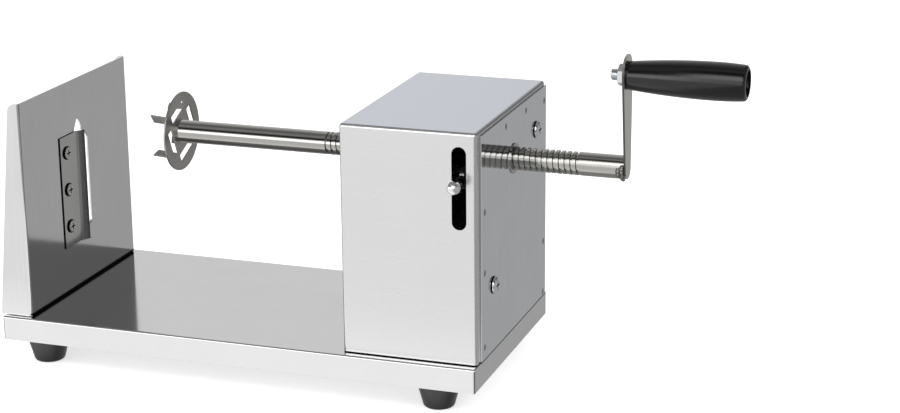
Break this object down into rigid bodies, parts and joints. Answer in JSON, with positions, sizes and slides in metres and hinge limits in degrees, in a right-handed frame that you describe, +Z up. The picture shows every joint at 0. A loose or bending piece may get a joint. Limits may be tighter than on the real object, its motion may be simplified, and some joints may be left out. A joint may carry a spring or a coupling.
{
  "type": "tornado potato cutter",
  "caption": "Hand cranked spiral potato cutter: a folded steel tray on rubber feet carries an upright blade plate and a box whose lead screw winds a pronged fork towards the blade.",
  "frame": {"origin": "middle of the tray's footprint, on the plane that the four rubber feet stand on", "axes": "+X from the blade plate to the crank, parallel to the lead screw; +Y towards the back, away from the lever's knob; +Z up"},
  "size_m": [0.5151, 0.1781, 0.2367],
  "materials": {
    "stainless_sheet": "fine brushed, satin",
    "blade_steel": "ground",
    "turned_stainless": "polished",
    "lever_steel": "plain",
    "knob_steel": "bright",
    "stud_steel": "black oxide",
    "plated_fastener": "bright plated",
    "spring_steel": "drawn wire",
    "nut_brass": "machined",
    "bush_steel": "turned",
    "grip_plastic": "moulded, satin gloss",
    "foot_rubber": "moulded"
  },
  "bodies": {
    "frame": {"base_tray": "stainless_sheet", "foot_front_left": "foot_rubber", "foot_front_right": "foot_rubber", "foot_rear_left": "foot_rubber", "foot_rear_right": "foot_rubber", "foot_screws": "plated_fastener", "foot_washers": "plated_fastener", "foot_nuts": "plated_fastener", "blade_plate": "stainless_sheet", "plate_screws": "plated_fastener", "plate_nuts": "plated_fastener", "blade": "blade_steel", "blade_screws": "plated_fastener", "blade_nuts": "plated_fastener", "box_cover": "stainless_sheet", "box_screws": "plated_fastener", "box_nuts": "plated_fastener", "left_side_panel": "stainless_sheet", "right_side_panel": "stainless_sheet", "left_bush": "bush_steel", "right_bush": "bush_steel", "pivot_bolt": "plated_fastener", "pivot_nuts": "plated_fastener", "pivot_washer": "plated_fastener", "spring_bolt": "plated_fastener", "spring_bolt_nuts": "plated_fastener", "release_spring": "spring_steel"},
    "feed": {"spacer_sleeve": "turned_stainless"},
    "crank": {"lead_screw": "turned_stainless", "fork_disc": "turned_stainless", "crank_arm": "turned_stainless", "handle_bolt": "plated_fastener", "handle_nut": "plated_fastener"},
    "grip": {"handle_grip": "grip_plastic"},
    "lever": {"lever_arm": "lever_steel", "lever_pivot_bush": "nut_brass", "half_nut": "nut_brass", "half_nut_screws": "plated_fastener", "knob_stud": "stud_steel", "lever_knob": "knob_steel"}
  },
  "joints": [
    {"name": "screw_feed", "type": "slide", "parent": "frame", "child": "feed", "axis": [1, 0, 0], "range_m": [-0.0541, 0.1081]},
    {"name": "crank_turn", "type": "hinge", "parent": "feed", "child": "crank", "pos_m": [0, 0, 0.1585], "axis": [1, 0, 0], "range_deg": [-4860, 9720]},
    {"name": "grip_spin", "type": "hinge", "parent": "crank", "child": "grip", "pos_m": [0.2568, -0.00402, 0.22237], "axis": [1, 0, 0], "continuous": true},
    {"name": "lever_lift", "type": "hinge", "parent": "frame", "child": "lever", "pos_m": [0.1639, 0.053, 0.1654], "axis": [-1, 0, 0], "range_deg": [0, 8.5], "stiffness_Nm_per_rad": 4.6, "springref_deg": -3.44, "deforming": ["release_spring"]}
  ],
  "couplings": [
    {"joint": "screw_feed", "follows": "crank_turn", "m_per_rad": 0.00063662}
  ]
}
